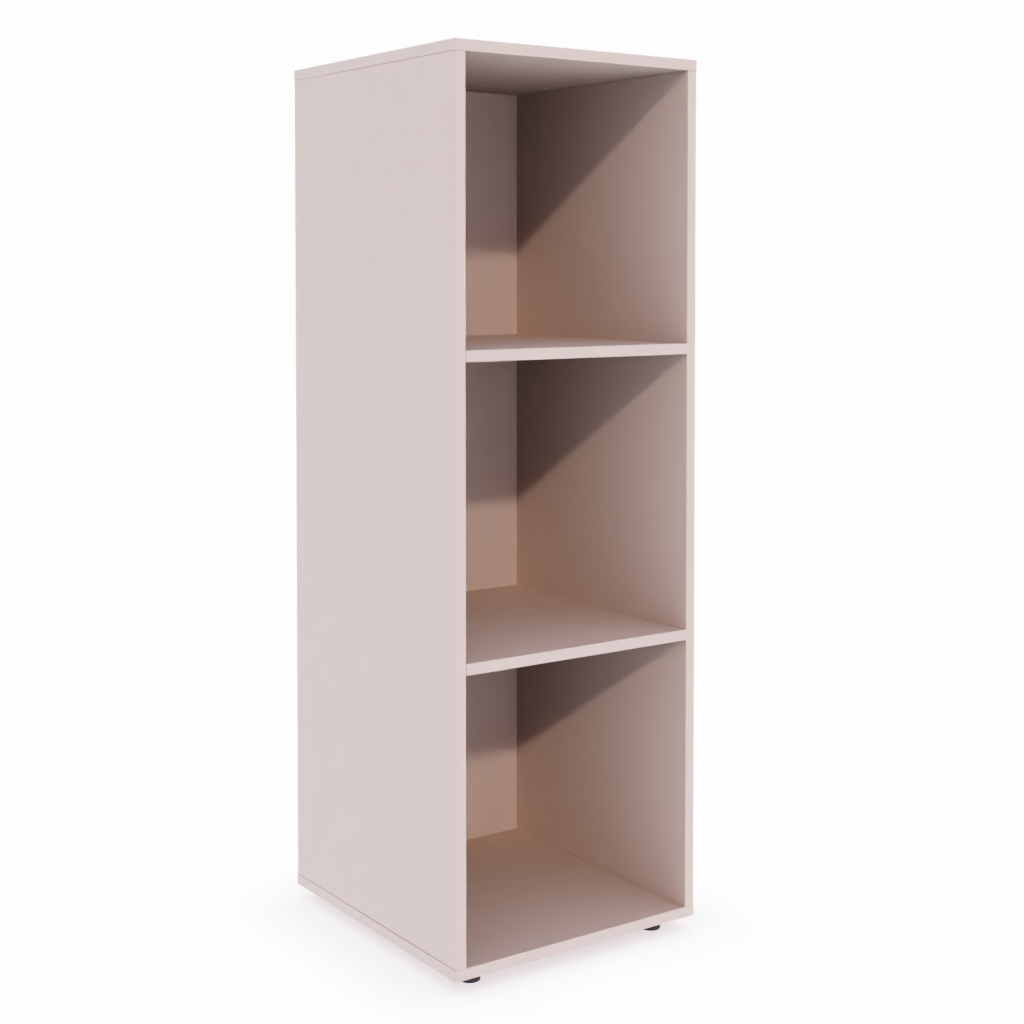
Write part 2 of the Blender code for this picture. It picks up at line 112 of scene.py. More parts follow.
class FinishNodes:
    """The node tree of one finish, with the kinds of node that the finishes share."""

    def __init__(self, name: str) -> None:
        """Makes a finish that reads Object coordinates.

        Args:
            name: the material's name.
        """
        self.material = bpy.data.materials.new(name)
        self.material.use_nodes = True
        self.tree = self.material.node_tree
        self.shader = self.tree.nodes["Principled BSDF"]
        places = self.tree.nodes.new("ShaderNodeTexCoord")
        self.place = places.outputs["Object"]
        self.normal = places.outputs["Normal"]

    def feed(self, target: Socket, value: Input) -> None:
        """Links a socket to an input, or sets the input's own value.

        Args:
            target: the input socket.
            value: a socket to link, a number or a colour.
        """
        if isinstance(value, bpy.types.NodeSocket):
            self.tree.links.new(value, target)
        elif isinstance(value, tuple):
            target.default_value = (*value, 1.0)
        else:
            target.default_value = value

    def math(self, operation: str, first: Input, second: Input = 0.0) -> Socket:
        """A sum on one or two values.

        Args:
            operation: the name of a Math node's operation.
            first: its first value.
            second: its second value.

        Returns:
            The result's socket.
        """
        node = self.tree.nodes.new("ShaderNodeMath")
        node.operation = operation
        self.feed(node.inputs[0], first)
        self.feed(node.inputs[1], second)
        return node.outputs[0]

    def weighed(self, *parts: tuple[Socket, float]) -> Socket:
        """The sum of several values, each times its weight.

        Args:
            parts: values with their weights.

        Returns:
            The sum's socket.
        """
        total = None
        for value, weight in parts:
            share = self.math("MULTIPLY", value, weight)
            total = share if total is None else self.math("ADD", total, share)
        return total

    def part(self, vector: Socket, axis: Axis) -> Socket:
        """One component of a vector.

        Args:
            vector: the vector's socket.
            axis: which component.

        Returns:
            The component's socket.
        """
        node = self.tree.nodes.new("ShaderNodeSeparateXYZ")
        self.tree.links.new(vector, node.inputs[0])
        return node.outputs[axis.value]

    def spread(self, value: Socket, source: Range, target: Range = (0.0, 1.0)) -> Socket:
        """Maps one range of a value smoothly to another, held at its ends.

        Args:
            value: the value's socket.
            source: the range that it is read over.
            target: the range that it is given.

        Returns:
            The mapped value's socket.
        """
        node = self.tree.nodes.new("ShaderNodeMapRange")
        node.interpolation_type = "SMOOTHSTEP"
        self.tree.links.new(value, node.inputs["Value"])
        for name, number in zip(("From Min", "From Max", "To Min", "To Max"), (*source, *target)):
            node.inputs[name].default_value = number
        return node.outputs["Result"]

    def stretched(self, stretch: Point, turn: Point = (0.0, 0.0, 0.0)) -> Socket:
        """Object coordinates in which a pattern comes out longer along some axes.

        Args:
            stretch: how many times longer along each axis.
            turn: the pattern's turn about each axis, in radians.

        Returns:
            The coordinates' socket.
        """
        node = self.tree.nodes.new("ShaderNodeMapping")
        node.vector_type = "TEXTURE"
        node.inputs["Scale"].default_value = stretch
        node.inputs["Rotation"].default_value = turn
        self.tree.links.new(self.place, node.inputs["Vector"])
        return node.outputs["Vector"]

    def noise(self, size: float, detail: float = 2.0, place: Socket | None = None) -> Socket:
        """Soft random variation about 0.5.

        Args:
            size: the length of one patch, in metres.
            detail: how many finer layers it has.
            place: coordinates to read, or None for the piece's own.

        Returns:
            The value's socket.
        """
        node = self.tree.nodes.new("ShaderNodeTexNoise")
        node.inputs["Scale"].default_value = 1.0 / size
        node.inputs["Detail"].default_value = detail
        self.tree.links.new(place or self.place, node.inputs["Vector"])
        return node.outputs["Fac"]

    def cells(self, size: float, place: Socket) -> tuple[Socket, Socket]:
        """Random cells, such as chips of wood.

        Args:
            size: the length of one cell, in metres.
            place: coordinates to read.

        Returns:
            The distance from each cell's middle, and a random value for each cell.
        """
        node = self.tree.nodes.new("ShaderNodeTexVoronoi")
        node.inputs["Scale"].default_value = 1.0 / size
        self.tree.links.new(place, node.inputs["Vector"])
        return node.outputs["Distance"], self.part(node.outputs["Color"], Axis.X)

    def ramp(self, value: Socket, *stops: tuple[float, Colour]) -> Socket:
        """A colour read from a value.

        Args:
            value: the value's socket.
            stops: places from 0 to 1 in rising order, each with its colour.

        Returns:
            The colour's socket.
        """
        node = self.tree.nodes.new("ShaderNodeValToRGB")
        elements = node.color_ramp.elements
        while len(elements) < len(stops):
            elements.new(1.0)
        for element, (place, colour) in zip(elements, stops):
            element.position = place
            element.color = (*colour, 1.0)
        self.tree.links.new(value, node.inputs["Fac"])
        return node.outputs["Color"]

    def mix(self, share: Socket, first: Input, second: Input, kind: MixKind) -> Socket:
        """A mix of two colours or of two values.

        Args:
            share: how much of the second it holds.
            first: the first colour or value.
            second: the second colour or value.
            kind: whether they are colours or values.

        Returns:
            The mix's socket.
        """
        node = self.tree.nodes.new("ShaderNodeMix")
        node.data_type = kind.name
        ends = [each for each in node.inputs if each.type == kind.value][-2:]
        self.tree.links.new(share, node.inputs["Factor"])
        self.feed(ends[0], first)
        self.feed(ends[1], second)
        return next(each for each in node.outputs if each.type == kind.value)

    def between(self, share: Socket, first: Surface, second: Surface) -> Surface:
        """A surface that goes over from one to another.

        Args:
            share: how much of the second it holds.
            first: the first surface.
            second: the second surface.

        Returns:
            The mixed surface.
        """
        return Surface(
            self.mix(share, first.colour, second.colour, MixKind.RGBA),
            self.mix(share, first.roughness, second.roughness, MixKind.FLOAT),
            self.mix(share, first.height, second.height, MixKind.FLOAT),
        )

    def finished(self, surface: Surface) -> bpy.types.Material:
        """Puts a surface on the shader.

        Args:
            surface: what the faces show.

        Returns:
            The finished material.
        """
        bump = self.tree.nodes.new("ShaderNodeBump")
        bump.inputs["Distance"].default_value = 1.0
        self.tree.links.new(surface.height, bump.inputs["Height"])
        self.tree.links.new(bump.outputs["Normal"], self.shader.inputs["Normal"])
        self.tree.links.new(surface.colour, self.shader.inputs["Base Color"])
        self.tree.links.new(surface.roughness, self.shader.inputs["Roughness"])
        return self.material


@dataclass(frozen=True)
class Decor:
    """A plain pale decor: fine satin structure, hardly any drift of tone and a faint bloom at low angles."""

    colour: Colour = (0.60, 0.49, 0.43)
    bloom: float = 0.3
    bloom_spread: float = 0.3
    bloom_tint: Colour = (1.0, 0.86, 0.80)
    drift: float = 0.008
    drift_size: float = 0.25
    drift_share: float = 0.6
    fleck_size: float = 0.0009
    tone_span: Range = (0.35, 0.65)
    grain_size: float = 0.0006
    grain_depth: float = 0.000006
    patch_size: float = 0.03
    roughness: Range = (0.38, 0.50)

    def lay(self, nodes: FinishNodes) -> Surface:
        """The decor's surface.

        Args:
            nodes: the finish that it is part of.

        Returns:
            Its colour, roughness and height.
        """
        drift = nodes.noise(self.drift_size)
        fleck = nodes.noise(self.fleck_size, detail=3.0)
        tone = nodes.weighed((drift, self.drift_share), (fleck, 1.0 - self.drift_share))
        dark = shaded(self.colour, 1.0 - self.drift)
        light = shaded(self.colour, 1.0 + self.drift)
        colour = nodes.ramp(tone, *zip(self.tone_span, (dark, light)))
        roughness = nodes.spread(nodes.noise(self.patch_size), NOISE_SPAN, self.roughness)
        height = nodes.math("MULTIPLY", nodes.noise(self.grain_size), self.grain_depth)
        return Surface(colour, roughness, height)

    def add_bloom(self, nodes: FinishNodes) -> None:
        """Puts the decor's bloom on a finish's shader.

        Args:
            nodes: the finish that it is part of.
        """
        nodes.shader.inputs["Sheen Weight"].default_value = self.bloom
        nodes.shader.inputs["Sheen Roughness"].default_value = self.bloom_spread
        nodes.feed(nodes.shader.inputs["Sheen Tint"], self.bloom_tint)


@dataclass(frozen=True)
class Chips:
    """The cut edge of chipboard: coarse flat chips in the middle, fine ones under each face."""

    thin: Axis
    middle: float
    coarse_size: float = 0.0034
    fine_size: float = 0.0013
    flatness: float = 3.0
    fine_layer: Range = (0.0040, 0.0055)
    chip_share: float = 0.6
    tone_stops: Sequence[float] = (0.15, 0.5, 0.8)
    dark: Colour = (0.20, 0.11, 0.055)
    mid: Colour = (0.44, 0.29, 0.16)
    light: Colour = (0.62, 0.47, 0.30)
    roughness: Range = (0.80, 0.95)
    depth: float = 0.00012

    def lay(self, nodes: FinishNodes) -> Surface:
        """The cut edge's surface.

        Args:
            nodes: the finish that it is part of.

        Returns:
            Its colour, roughness and height.
        """
        stretch = [1.0, 1.0, 1.0]
        stretch[self.thin.value] /= self.flatness
        place = nodes.stretched(tuple(stretch))
        coarse_gap, coarse_tone = nodes.cells(self.coarse_size, place)
        fine_gap, fine_tone = nodes.cells(self.fine_size, place)
        off_middle = nodes.math("SUBTRACT", nodes.part(nodes.place, self.thin), self.middle)
        outer = nodes.spread(nodes.math("ABSOLUTE", off_middle), self.fine_layer)
        chip = nodes.mix(outer, coarse_tone, fine_tone, MixKind.FLOAT)
        gap = nodes.mix(outer, coarse_gap, fine_gap, MixKind.FLOAT)
        grain = nodes.noise(self.fine_size, detail=4.0)
        tone = nodes.weighed((chip, self.chip_share), (grain, 1.0 - self.chip_share))
        colour = nodes.ramp(tone, *zip(self.tone_stops, (self.dark, self.mid, self.light)))
        roughness = nodes.spread(grain, NOISE_SPAN, self.roughness)
        return Surface(colour, roughness, nodes.math("MULTIPLY", gap, -self.depth))


@dataclass(frozen=True)
class RawFibre:
    """The rear of hardboard: matted brown fibres, pressed on a wire screen."""

    fibre_width: float = 0.0005
    fibre_stretch: float = 14.0
    fibre_turns: Sequence[float] = (0.3, 1.2, 2.3)
    cloud_size: float = 0.05
    cloud_share: float = 0.12
    fibre_span: Range = (0.4, 0.8)
    tone_stops: Sequence[float] = (0.42, 0.58, 0.74)
    dark: Colour = (0.105, 0.058, 0.031)
    mid: Colour = (0.190, 0.112, 0.063)
    light: Colour = (0.27, 0.168, 0.098)
    roughness: Range = (0.72, 0.88)
    screen_pitch: float = 0.0016
    screen_depth: float = 0.00005
    fibre_depth: float = 0.00004

    def lay(self, nodes: FinishNodes) -> Surface:
        """The raw surface.

        Args:
            nodes: the finish that it is part of.

        Returns:
            Its colour, roughness and height.
        """
        fibre = None
        for turn in self.fibre_turns:
            place = nodes.stretched((1.0, 1.0, self.fibre_stretch), (0.0, turn, 0.0))
            strand = nodes.noise(self.fibre_width, place=place)
            fibre = strand if fibre is None else nodes.math("MAXIMUM", fibre, strand)
        cloud = nodes.noise(self.cloud_size, detail=4.0)
        tone = nodes.weighed((fibre, 1.0 - self.cloud_share), (cloud, self.cloud_share))
        colour = nodes.ramp(tone, *zip(self.tone_stops, (self.dark, self.mid, self.light)))
        roughness = nodes.spread(fibre, self.fibre_span, self.roughness)
        wires = []
        for axis in (Axis.X, Axis.Z):
            along = nodes.math("MULTIPLY", nodes.part(nodes.place, axis), math.tau / self.screen_pitch)
            wires.append(nodes.math("SINE", along))
        screen = nodes.math("MULTIPLY", *wires)
        height = nodes.weighed((screen, self.screen_depth), (fibre, self.fibre_depth))
        return Surface(colour, roughness, height)


@dataclass(frozen=True)
class Melamine:
    """Chipboard with a decor pressed on both faces. Its cut edges are raw."""

    name: str
    decor: Decor
    cut: Chips
    face_edge: Range = (0.4, 0.6)

    def material(self) -> bpy.types.Material:
        """Makes the finish, with the decor on the faces across the board's thin axis.

        Returns:
            The material.
        """
        nodes = FinishNodes(self.name)
        across = nodes.math("ABSOLUTE", nodes.part(nodes.normal, self.cut.thin))
        on_face = nodes.spread(across, self.face_edge)
        self.decor.add_bloom(nodes)
        return nodes.finished(nodes.between(on_face, self.cut.lay(nodes), self.decor.lay(nodes)))


@dataclass(frozen=True)
class Hardboard:
    """A thin back: the decor's colour lacquered on its front, raw fibre behind and on its edges."""

    name: str
    decor: Decor
    raw: RawFibre = RawFibre()
    front_edge: Range = (0.4, 0.6)

    def material(self) -> bpy.types.Material:
        """Makes the finish, with the lacquer on the faces that look to the front.

        Returns:
            The material.
        """
        nodes = FinishNodes(self.name)
        to_front = nodes.math("MULTIPLY", nodes.part(nodes.normal, Axis.Y), -1.0)
        on_front = nodes.spread(to_front, self.front_edge)
        return nodes.finished(nodes.between(on_front, self.raw.lay(nodes), self.decor.lay(nodes)))


@dataclass(frozen=True)
class EdgeBand:
    """Edge banding in the decor's colour, a little smoother than the faces."""

    name: str
    decor: Decor

    def material(self) -> bpy.types.Material:
        """Makes the finish, the same on every face of a strip."""
        nodes = FinishNodes(self.name)
        return nodes.finished(self.decor.lay(nodes))


@dataclass(frozen=True)
class Beech:
    """Raw beech with short dark rays along its grain."""

    name: str
    grain: Axis
    fibre_size: float = 0.0011
    fibre_stretch: float = 14.0
    ray_size: float = 0.0007
    ray_stretch: float = 4.0
    ray_span: Range = (0.58, 0.72)
    ray_weight: float = -0.2
    tone_span: Range = (0.3, 0.65)
    dark: Colour = (0.40, 0.23, 0.12)
    light: Colour = (0.66, 0.46, 0.28)
    roughness: Range = (0.62, 0.78)
    depth: float = 0.00004

    def material(self) -> bpy.types.Material:
        """Makes the finish, with the grain along its axis.

        Returns:
            The material.
        """
        nodes = FinishNodes(self.name)
        along = [1.0, 1.0, 1.0]
        along[self.grain.value] = self.fibre_stretch
        fibre = nodes.noise(self.fibre_size, detail=3.0, place=nodes.stretched(tuple(along)))
        along[self.grain.value] = self.ray_stretch
        fleck = nodes.noise(self.ray_size, detail=0.0, place=nodes.stretched(tuple(along)))
        ray = nodes.spread(fleck, self.ray_span)
        tone = nodes.weighed((fibre, 1.0), (ray, self.ray_weight))
        colour = nodes.ramp(tone, *zip(self.tone_span, (self.dark, self.light)))
        roughness = nodes.spread(fibre, NOISE_SPAN, self.roughness)
        return nodes.finished(Surface(colour, roughness, nodes.math("MULTIPLY", tone, self.depth)))


@dataclass(frozen=True)
class ZincPlate:
    """Bright zinc on turned steel: metal with faint crystals and fine turning marks."""

    name: str
    dark: Colour = (0.60, 0.61, 0.61)
    light: Colour = (0.72, 0.72, 0.70)
    crystal_size: float = 0.0016
    crystal_share: float = 0.6
    mark_size: float = 0.00016
    mark_stretch: float = 8.0
    roughness: Range = (0.26, 0.36)
    depth: float = 0.000004

    def material(self) -> bpy.types.Material:
        """Makes the finish, with turning marks that run level round the piece.

        Returns:
            The material.
        """
        nodes = FinishNodes(self.name)
        nodes.shader.inputs["Metallic"].default_value = 1.0
        crystals = nodes.noise(self.crystal_size, detail=3.0)
        level = nodes.stretched((self.mark_stretch, self.mark_stretch, 1.0))
        marks = nodes.noise(self.mark_size, detail=1.0, place=level)
        colour = nodes.ramp(crystals, *zip(NOISE_SPAN, (self.dark, self.light)))
        gloss = nodes.weighed((crystals, self.crystal_share), (marks, 1.0 - self.crystal_share))
        roughness = nodes.spread(gloss, NOISE_SPAN, self.roughness)
        return nodes.finished(Surface(colour, roughness, nodes.math("MULTIPLY", marks, self.depth)))


@dataclass(frozen=True)
class MouldedPlastic:
    """Black moulded plastic with a fine matt texture and a little dust in its tone."""

    name: str
    dark: Colour = (0.009, 0.008, 0.009)
    light: Colour = (0.018, 0.017, 0.018)
    cloud_size: float = 0.006
    cloud_share: float = 0.6
    tone_span: Range = (0.35, 0.65)
    texture_size: float = 0.00022
    depth: float = 0.000010
    roughness: Range = (0.42, 0.58)

    def material(self) -> bpy.types.Material:
        """Makes the finish, the same all round.

        Returns:
            The material.
        """
        nodes = FinishNodes(self.name)
        cloud = nodes.noise(self.cloud_size, detail=3.0)
        texture = nodes.noise(self.texture_size)
        tone = nodes.weighed((cloud, self.cloud_share), (texture, 1.0 - self.cloud_share))
        colour = nodes.ramp(tone, *zip(self.tone_span, (self.dark, self.light)))
        roughness = nodes.spread(cloud, NOISE_SPAN, self.roughness)
        return nodes.finished(Surface(colour, roughness, nodes.math("MULTIPLY", texture, self.depth)))


def dress(node: str, material: bpy.types.Material) -> None:
    """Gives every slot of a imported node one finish.

    Args:
        node: the node's name.
        material: the finish.
    """
    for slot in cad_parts[node].material_slots:
        slot.material = material
    LOG.info("%s wears %s", node, material.name)


@dataclass
class Carcass:
    """The boards, their banding, the back and the dowels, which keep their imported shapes."""

    decor: Decor = Decor()
    band_decor: Decor = Decor(grain_depth=0.000004, roughness=(0.34, 0.44))
    lacquer: Decor = Decor(grain_size=0.0011, grain_depth=0.000005, roughness=(0.40, 0.52))
    uprights: Sequence[str] = ("left_side_panel", "right_side_panel")
    levels: Sequence[str] = ("top_panel", "upper_shelf", "lower_shelf", "bottom_panel")

    def dress_boards(self) -> None:
        """Gives each board the decor on its faces and chips on its cut edges."""
        thin_axes = {name: Axis.X for name in self.uprights} | {name: Axis.Z for name in self.levels}
        for name, thin in thin_axes.items():
            low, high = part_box(name)
            cut = Chips(thin, (low[thin.value] + high[thin.value]) / 2)
            dress(name, Melamine(f"melamine_{name}", self.decor, cut).material())

    def dress_banding(self) -> None:
        """Gives every strip of edge banding its finish."""
        band = EdgeBand("edge_band", self.band_decor).material()
        for name in sorted(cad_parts):
            if name.endswith("_edging"):
                dress(name, band)

    def dress_back(self) -> None:
        """Gives the back its lacquered front and raw rear."""
        dress("back_panel", Hardboard("lacquered_hardboard", self.lacquer).material())

    def dress_dowels(self) -> None:
        """Gives the dowels beech, with the grain along each of them."""
        across = Beech("beech_across", Axis.X).material()
        upright = Beech("beech_upright", Axis.Z).material()
        for name in sorted(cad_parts):
            if "_dowel_" in name:
                dress(name, across if "_shelf_" in name else upright)

    def dress(self) -> None:
        """Gives every piece of the carcass its finish."""
        self.dress_boards()
        self.dress_banding()
        self.dress_back()
        self.dress_dowels()


class Corner(NamedTuple):
    """A corner of a turned outline: its radius from the axis, its height and how far it is rounded."""

    radius: float
    height: float
    round: float = 0.0


def rounded_outline(corners: Sequence[Corner], closed: bool = False, steps: int = 5) -> list[Vector]:
    """An outline with its corners rounded.

    Args:
        corners: the corners in order. The first and last of an open outline stay sharp.
        closed: whether the last corner joins the first.
        steps: how many lines make one rounding.

    Returns:
        The outline's points, as radius and height.
    """
    points = []
    for i, corner in enumerate(corners):
        here = Vector((corner.radius, corner.height))
        at_end = not closed and i in (0, len(corners) - 1)
        if corner.round == 0.0 or at_end:
            points.append(here)
            continue
        before, after = corners[i - 1], corners[(i + 1) % len(corners)]
        back = (Vector((before.radius, before.height)) - here).normalized()
        onward = (Vector((after.radius, after.height)) - here).normalized()
        half_angle = back.angle(onward) / 2
        reach = corner.round / math.tan(half_angle)
        centre = here + (back + onward).normalized() * corner.round / math.sin(half_angle)
        start, end = here + back * reach - centre, here + onward * reach - centre
        for step in range(steps + 1):
            points.append(centre + start.lerp(end, step / steps).normalized() * corner.round)
    return points


def ball_outline(middle: float, radius: float, start: float, end: float, steps: int = 14) -> list[Corner]:
    """Part of a ball's outline.

    Args:
        middle: the height of the ball's middle.
        radius: the ball's radius.
        start: the first angle, measured from straight down.
        end: the last angle.
        steps: how many lines it has.

    Returns:
        The corners in order.
    """
    angles = [start + (end - start) * step / steps for step in range(steps + 1)]
    return [Corner(radius * math.sin(angle), middle - radius * math.cos(angle)) for angle in angles]


def turn_outline(
    shape: bmesh.types.BMesh,
    outline: Sequence[Vector],
    steps: int,
    closed: bool = False,
) -> None:
    """Turns an outline round the Z axis.

    Args:
        shape: the mesh that it is added to.
        outline: points as radius and height.
        steps: how many faces go round.
        closed: whether the last point joins the first.
    """
    verts = [shape.verts.new((radius, 0.0, height)) for radius, height in outline]
    ends = verts[1:] + verts[:1] if closed else verts[1:]
    edges = [shape.edges.new(pair) for pair in zip(verts, ends)]
    bmesh.ops.spin(
        shape,
        geom=verts + edges,
        cent=(0, 0, 0),
        axis=(0, 0, 1),
        angle=math.tau,
        steps=steps,
        use_merge=True,
    )
    bmesh.ops.remove_doubles(shape, verts=shape.verts, dist=MERGE_DISTANCE)


def rim_at(shape: bmesh.types.BMesh, height: float) -> list[bmesh.types.BMEdge]:
    """The open edges of a mesh at one height.

    Args:
        shape: the mesh.
        height: the height.

    Returns:
        The edges.
    """
    found = []
    for edge in shape.edges:
        level = all(abs(vert.co.z - height) < MERGE_DISTANCE for vert in edge.verts)
        if edge.is_boundary and level:
            found.append(edge)
    return found


def add_piece(
    name: str,
    shape: bmesh.types.BMesh,
    place: Vector,
    material: bpy.types.Material,
    body: str,
    node: str,
) -> None:
    """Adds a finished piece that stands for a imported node.

    Args:
        name: the piece's name.
        shape: its mesh about the Z axis, which is used up.
        place: where its axis stands.
        material: its finish.
        body: the body that it rides on.
        node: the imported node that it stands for.
    """
    bmesh.ops.recalc_face_normals(shape, faces=shape.faces)
    bmesh.ops.translate(shape, vec=place, verts=shape.verts)
    mesh = bpy.data.meshes.new(name)
    shape.to_mesh(mesh)
    shape.free()
    mesh.shade_smooth()
    mesh.set_sharp_from_angle(angle=SMOOTH_ANGLE)
    mesh.materials.append(material)
    piece = bpy.data.objects.new(name, mesh)
    bpy.context.scene.collection.objects.link(piece)
    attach(piece, body)
    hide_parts(node)
    LOG.info("%s rides on %s and stands for %s", name, body, node)


@dataclass
class LevellingFoot:
    """One foot: a moulded base that swivels on a ball, a threaded stud with a collar, and its insert."""

    corner: str
    plastic: bpy.types.Material
    zinc: bpy.types.Material
    steps: int = 96

    rim_height: float = 0.005
    shoulder: float = 0.0015
    crown_rise: float = 0.0007
    sole_round: float = 0.0006
    ring_width: float = 0.004
    recess: float = 0.0008
    gate_radius: float = 0.0014
    gate_depth: float = 0.0003
    hub_radius: float = 0.007
    hub_draft: float = 0.0003
    edge_round: float = 0.0004
    socket_gap: float = 0.0003

    ball_radius: float = 0.0038
    ball_height: float = 0.006
    neck_radius: float = 0.0025
    collar_flats: float = 0.0065
    collar_bearing: float = 0.0062
    collar_height: float = 0.0034
    collar_chamfer: float = math.radians(30)
    thread_radius: float = 0.004
    thread_pitch: float = 0.00125
    thread_depth: float = 0.00077
    thread_rise: Range = (0.25, 0.56)
    thread_fall: Range = (0.69, 1.0)
    thread_tip: float = 0.001
    undercut: float = 0.0006
    run_out: float = 0.0003

    flange_thickness: float = 0.0015
    barrel_radius: float = 0.0056
    barrel_bore: float = 0.0043
    barb_height: float = 0.0006
    barb_pitch: float = 0.0025
    barb_count: int = 3
    insert_lead: float = 0.0006

    axis: Vector = field(init=False)
    base_radius: float = field(init=False)
    hub_top: float = field(init=False)
    stud_top: float = field(init=False)
    flange_bottom: float = field(init=False)
    flange_radius: float = field(init=False)
    insert_top: float = field(init=False)
    collar_bottom: float = field(init=False)
    collar_top: float = field(init=False)

    def __post_init__(self) -> None:
        """Takes the foot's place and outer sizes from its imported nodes."""
        base_low, base_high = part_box(self.node("base"))
        insert_low, insert_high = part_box(self.node("insert"))
        self.axis = Vector(((base_low.x + base_high.x) / 2, (base_low.y + base_high.y) / 2, base_low.z))
        self.base_radius = (base_high.x - base_low.x) / 2
        self.hub_top = base_high.z - self.axis.z
        self.stud_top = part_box(self.node("stud"))[1].z - self.axis.z
        self.flange_bottom = insert_low.z - self.axis.z
        self.flange_radius = (insert_high.x - insert_low.x) / 2
        self.insert_top = insert_high.z - self.axis.z
        self.collar_bottom = self.hub_top + self.socket_gap
        self.collar_top = self.collar_bottom + self.collar_height

    def node(self, piece: str) -> str:
        """The name of one of the foot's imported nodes."""
        return f"foot_{piece}_{self.corner}"

    def build_base(self) -> None:
        """Turns the base: socket, hub, crowned top, rounded rim and recessed sole with a gate mark."""
        socket_radius = self.ball_radius + self.socket_gap
        mouth_radius = self.neck_radius + self.socket_gap
        mouth = math.pi - math.asin(mouth_radius / socket_radius)
        rim_top = self.rim_height + self.shoulder
        crown_top = rim_top + self.crown_rise
        recess_radius = self.base_radius - self.ring_width
        corners = [
            *ball_outline(self.ball_height, socket_radius, 0.0, mouth),
            Corner(mouth_radius, self.hub_top),
            Corner(self.hub_radius - self.hub_draft, self.hub_top, self.edge_round),
            Corner(self.hub_radius, crown_top, self.edge_round),
            Corner(self.base_radius - self.shoulder, rim_top),
            Corner(self.base_radius, rim_top, self.shoulder),
            Corner(self.base_radius, 0.0, self.sole_round),
            Corner(recess_radius, 0.0, self.edge_round / 2),
            Corner(recess_radius - self.recess, self.recess, self.edge_round / 2),
            Corner(self.gate_radius, self.recess),
            Corner(self.gate_radius, self.recess + self.gate_depth),
            Corner(0.0, self.recess + self.gate_depth),
        ]
        shape = bmesh.new()
        turn_outline(shape, rounded_outline(corners), self.steps)
        name = f"moulded_base_{self.corner}"
        add_piece(
            name, shape, self.axis, self.plastic, f"base_{self.corner}", self.node("base")
        )

    def cut_hexagon(self, shape: bmesh.types.BMesh, corner_radius: float) -> None:
        """Trims the turned collar to a hexagon with its flats across X, chamfered above and below.

        Args:
            shape: the stud's mesh, with the collar still round.
            corner_radius: the radius of the round collar.
        """
        sixth = math.tau / HEXAGON_SIDES
        slope = math.tan(self.collar_chamfer)
        for vert in shape.verts:
            radius = vert.co.xy.length
            if radius < self.collar_bearing + MERGE_DISTANCE:
                continue
            angle = math.atan2(vert.co.y, vert.co.x)
            off_flat = (angle + sixth / 2) % sixth - sixth / 2
            reach = min(corner_radius, self.collar_flats / math.cos(off_flat))
            drop = (reach - self.collar_bearing) * slope
            upper = vert.co.z > (self.collar_bottom + self.collar_top) / 2
            vert.co.z = self.collar_top - drop if upper else self.collar_bottom + drop
            vert.co.xy *= reach / radius

    def cut_thread(self, shape: bmesh.types.BMesh, low: float) -> None:
        """Winds the thread up the shank, trims it level at both ends and eases its tip.

        Args:
            shape: the stud's mesh, which the thread is added to.
            low: the height that the thread starts at.
        """
        crest = self.thread_radius
        root = crest - self.thread_depth
        radii = (root, root, crest, crest, root)
        others = set(shape.verts)
        start = low - self.thread_pitch
        shares = (0.0, *self.thread_rise, *self.thread_fall)
        heights = [start + share * self.thread_pitch for share in shares]
        verts = [shape.verts.new((radius, 0.0, height)) for radius, height in zip(radii, heights)]
        edges = [shape.edges.new(pair) for pair in zip(verts, verts[1:])]
        turns = math.ceil((self.stud_top - start) / self.thread_pitch) + 1
        steps = self.steps // 2
        bmesh.ops.spin(
            shape,
            geom=verts + edges,
            cent=(0, 0, 0),
            axis=(0, 0, 1),
            dvec=(0, 0, self.thread_pitch / steps),
            angle=math.tau * turns,
            steps=steps * turns,
        )
        wound = [vert for vert in shape.verts if vert not in others]
        bmesh.ops.remove_doubles(shape, verts=wound, dist=MERGE_DISTANCE)
        for height, below in ((low, True), (self.stud_top, False)):
            wound = [vert for vert in shape.verts if vert not in others]
            edges = {edge for vert in wound for edge in vert.link_edges}
            faces = {face for vert in wound for face in vert.link_faces}
            bmesh.ops.bisect_plane(
                shape,
                geom=[*wound, *edges, *faces],
                dist=MERGE_DISTANCE,
                plane_co=(0, 0, height),
                plane_no=(0, 0, 1),
                clear_inner=below,
                clear_outer=not below,
            )
        for vert in shape.verts:
            most = self.thread_radius - self.thread_tip + self.stud_top - vert.co.z
            if vert not in others and vert.co.xy.length > most:
                vert.co.xy *= most / vert.co.xy.length

    def build_stud(self) -> None:
        """Turns the ball, neck and collar, winds the thread above them and closes the two together."""
        root = self.thread_radius - self.thread_depth
        corner_radius = self.collar_flats / math.cos(math.pi / HEXAGON_SIDES)
        drop = (corner_radius - self.collar_bearing) * math.tan(self.collar_chamfer)
        neck = math.pi - math.asin(self.neck_radius / self.ball_radius)
        shank = self.collar_top + self.undercut
        corners = [
            *ball_outline(self.ball_height, self.ball_radius, 0.0, neck),
            Corner(self.neck_radius, self.collar_bottom),
            Corner(self.collar_bearing, self.collar_bottom),
            Corner(corner_radius, self.collar_bottom + drop),
            Corner(corner_radius, self.collar_top - drop),
            Corner(self.collar_bearing, self.collar_top),
            Corner(root, self.collar_top, self.edge_round / 2),
            Corner(root, shank),
        ]
        shape = bmesh.new()
        turn_outline(shape, rounded_outline(corners), self.steps)
        self.cut_hexagon(shape, corner_radius)
        thread_low = shank + self.run_out
        self.cut_thread(shape, thread_low)
        bmesh.ops.bridge_loops(shape, edges=rim_at(shape, shank) + rim_at(shape, thread_low))
        bmesh.ops.edgeloop_fill(shape, edges=rim_at(shape, self.stud_top))
        name = f"threaded_stud_{self.corner}"
        add_piece(name, shape, self.axis, self.zinc, f"stud_{self.corner}", self.node("stud"))

